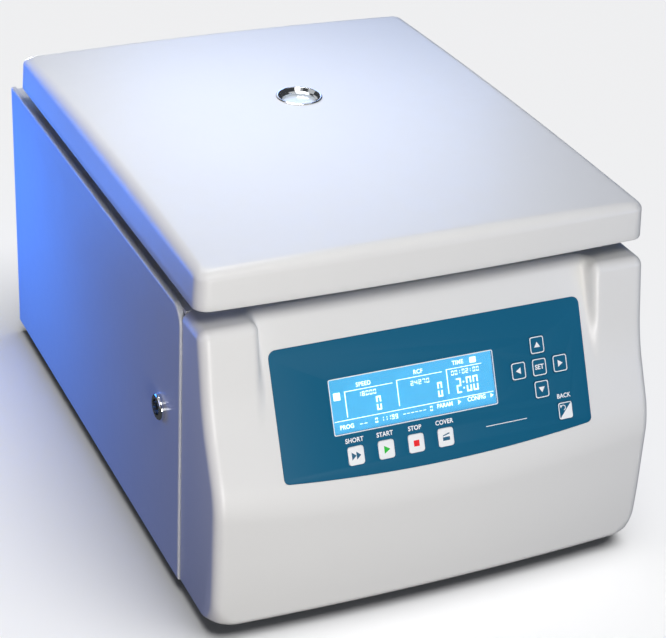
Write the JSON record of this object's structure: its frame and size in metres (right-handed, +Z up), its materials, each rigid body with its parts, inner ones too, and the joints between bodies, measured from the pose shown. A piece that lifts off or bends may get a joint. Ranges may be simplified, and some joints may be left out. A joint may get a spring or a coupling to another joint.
{
  "type": "bench centrifuge",
  "caption": "Bench centrifuge with a sloped keypad fascia, hinged lid with a sight glass, lid lock, and a fixed-angle micro-tube rotor in a steel chamber.",
  "frame": {"origin": "on the surface that the feet stand on, under the middle of the machine's box", "axes": "+Z up, the control panel faces -Y, +X to the right seen from the front"},
  "size_m": [0.374, 0.521, 0.2998],
  "materials": {
    "casing_plastic": "fine-textured satin off-white moulding",
    "panel_paint": "satin light grey powder coat",
    "steel_sheet": "zinc-plated sheet",
    "chamber_steel": "brushed stainless",
    "chrome": "polished",
    "lens_clear": "clear",
    "rubber_black": "matt",
    "overlay_teal": "printed polyester film, satin",
    "key_white": "satin white cap with a printed symbol",
    "key_teal": "printed teal cap with a white outline",
    "display_blue": "backlit liquid-crystal display",
    "board_green": "solder-masked board",
    "anodised": "bead-blasted anodised",
    "knob_black": "moulded",
    "spring_steel": "drawn wire",
    "motor_paint": "black e-coat",
    "black_plastic": "moulded",
    "cast_guard": "grey primer"
  },
  "bodies": {
    "root": {"base_tray": "steel_sheet", "left_side_panel": "panel_paint", "right_side_panel": "panel_paint", "rear_panel": "panel_paint", "case_screws": "chrome", "top_deck": "casing_plastic", "front_bulkhead": "steel_sheet", "feet": "rubber_black", "front_fascia": "casing_plastic", "keypad_overlay": "overlay_teal", "lcd_window": "lens_clear", "lcd_module": "display_blue", "keypad_board": "board_green", "control_board": "board_green", "hinge_brackets": "steel_sheet", "hinge_pins": "chrome", "hinge_springs": "spring_steel", "lock_bearings": "black_plastic", "lock_gearmotor": "motor_paint", "release_bezel": "chrome", "rotor_chamber": "chamber_steel", "chamber_seal": "rubber_black", "armour_ring": "cast_guard", "motor_plate": "steel_sheet", "motor_dampers": "rubber_black", "motor_body": "motor_paint", "shaft_boot": "rubber_black", "power_board": "board_green", "power_inlet": "black_plastic", "switch_frame": "black_plastic", "fan_housing": "black_plastic", "fan_guard": "chrome"},
    "lid": {"lid_cover": "casing_plastic", "lid_plate": "chamber_steel", "lid_screws": "chrome", "window_ring": "chrome", "window_lens": "lens_clear", "window_tube": "black_plastic", "lid_strikers": "chrome", "hinge_arms": "steel_sheet"},
    "rotor": {"motor_shaft": "spring_steel", "rotor_body": "anodised", "rotor_clamp_screw": "chrome"},
    "rotor_lid": {"rotor_lid": "anodised"},
    "rotor_knob": {"rotor_knob": "knob_black"},
    "lock": {"lock_shaft": "steel_sheet", "lock_levers": "steel_sheet"},
    "switch_rocker": {"switch_rocker": "black_plastic"},
    "fan_rotor": {"fan_rotor": "black_plastic"},
    "fuse_drawer": {"fuse_drawer": "black_plastic"},
    "key_short": {"key_short": "key_white"},
    "key_start": {"key_start": "key_white"},
    "key_stop": {"key_stop": "key_white"},
    "key_cover": {"key_cover": "key_white"},
    "key_up": {"key_up": "key_teal"},
    "key_left": {"key_left": "key_teal"},
    "key_set": {"key_set": "key_teal"},
    "key_right": {"key_right": "key_teal"},
    "key_down": {"key_down": "key_teal"},
    "key_back": {"key_back": "key_teal"}
  },
  "joints": [
    {"name": "lid_hinge", "type": "hinge", "parent": "root", "child": "lid", "pos_m": [0, 0.243, 0.264], "axis": [-1, 0, 0], "range_deg": [0, 78], "deforming": ["hinge_springs"]},
    {"name": "rotor_spin", "type": "hinge", "parent": "root", "child": "rotor", "pos_m": [0.005, 0.051, 0.182], "axis": [0, 0, 1], "continuous": true},
    {"name": "rotor_lid_lift", "type": "slide", "parent": "rotor", "child": "rotor_lid", "axis": [0, 0, 1], "range_m": [0, 0.014]},
    {"name": "rotor_knob_turn", "type": "hinge", "parent": "rotor_lid", "child": "rotor_knob", "pos_m": [0.005, 0.051, 0.227], "axis": [0, 0, 1], "range_deg": [0, 90]},
    {"name": "lock_turn", "type": "hinge", "parent": "root", "child": "lock", "pos_m": [0, -0.141, 0.1465], "axis": [-1, 0, 0], "range_deg": [0, 9]},
    {"name": "switch_rock", "type": "hinge", "parent": "root", "child": "switch_rocker", "pos_m": [0.076, 0.251, 0.072], "axis": [1, 0, 0], "range_deg": [0, 16]},
    {"name": "fan_spin", "type": "hinge", "parent": "root", "child": "fan_rotor", "pos_m": [-0.095, 0.245, 0.122], "axis": [0, 1, 0], "continuous": true},
    {"name": "fuse_slide", "type": "slide", "parent": "root", "child": "fuse_drawer", "axis": [0, 1, 0], "range_m": [0, 0.02]},
    {"name": "key_short_press", "type": "slide", "parent": "root", "child": "key_short", "axis": [0, 0.9107, -0.4131], "range_m": [0, 0.0005], "stiffness_N_per_m": 400},
    {"name": "key_start_press", "type": "slide", "parent": "root", "child": "key_start", "axis": [0, 0.9107, -0.4131], "range_m": [0, 0.0005], "stiffness_N_per_m": 400},
    {"name": "key_stop_press", "type": "slide", "parent": "root", "child": "key_stop", "axis": [0, 0.9107, -0.4131], "range_m": [0, 0.0005], "stiffness_N_per_m": 400},
    {"name": "key_cover_press", "type": "slide", "parent": "root", "child": "key_cover", "axis": [0, 0.9107, -0.4131], "range_m": [0, 0.0005], "stiffness_N_per_m": 400},
    {"name": "key_up_press", "type": "slide", "parent": "root", "child": "key_up", "axis": [0, 0.9107, -0.4131], "range_m": [0, 0.0005], "stiffness_N_per_m": 400},
    {"name": "key_left_press", "type": "slide", "parent": "root", "child": "key_left", "axis": [0, 0.9107, -0.4131], "range_m": [0, 0.0005], "stiffness_N_per_m": 400},
    {"name": "key_set_press", "type": "slide", "parent": "root", "child": "key_set", "axis": [0, 0.9107, -0.4131], "range_m": [0, 0.0005], "stiffness_N_per_m": 400},
    {"name": "key_right_press", "type": "slide", "parent": "root", "child": "key_right", "axis": [0, 0.9107, -0.4131], "range_m": [0, 0.0005], "stiffness_N_per_m": 400},
    {"name": "key_down_press", "type": "slide", "parent": "root", "child": "key_down", "axis": [0, 0.9107, -0.4131], "range_m": [0, 0.0005], "stiffness_N_per_m": 400},
    {"name": "key_back_press", "type": "slide", "parent": "root", "child": "key_back", "axis": [0, 0.9107, -0.4131], "range_m": [0, 0.0005], "stiffness_N_per_m": 400}
  ]
}
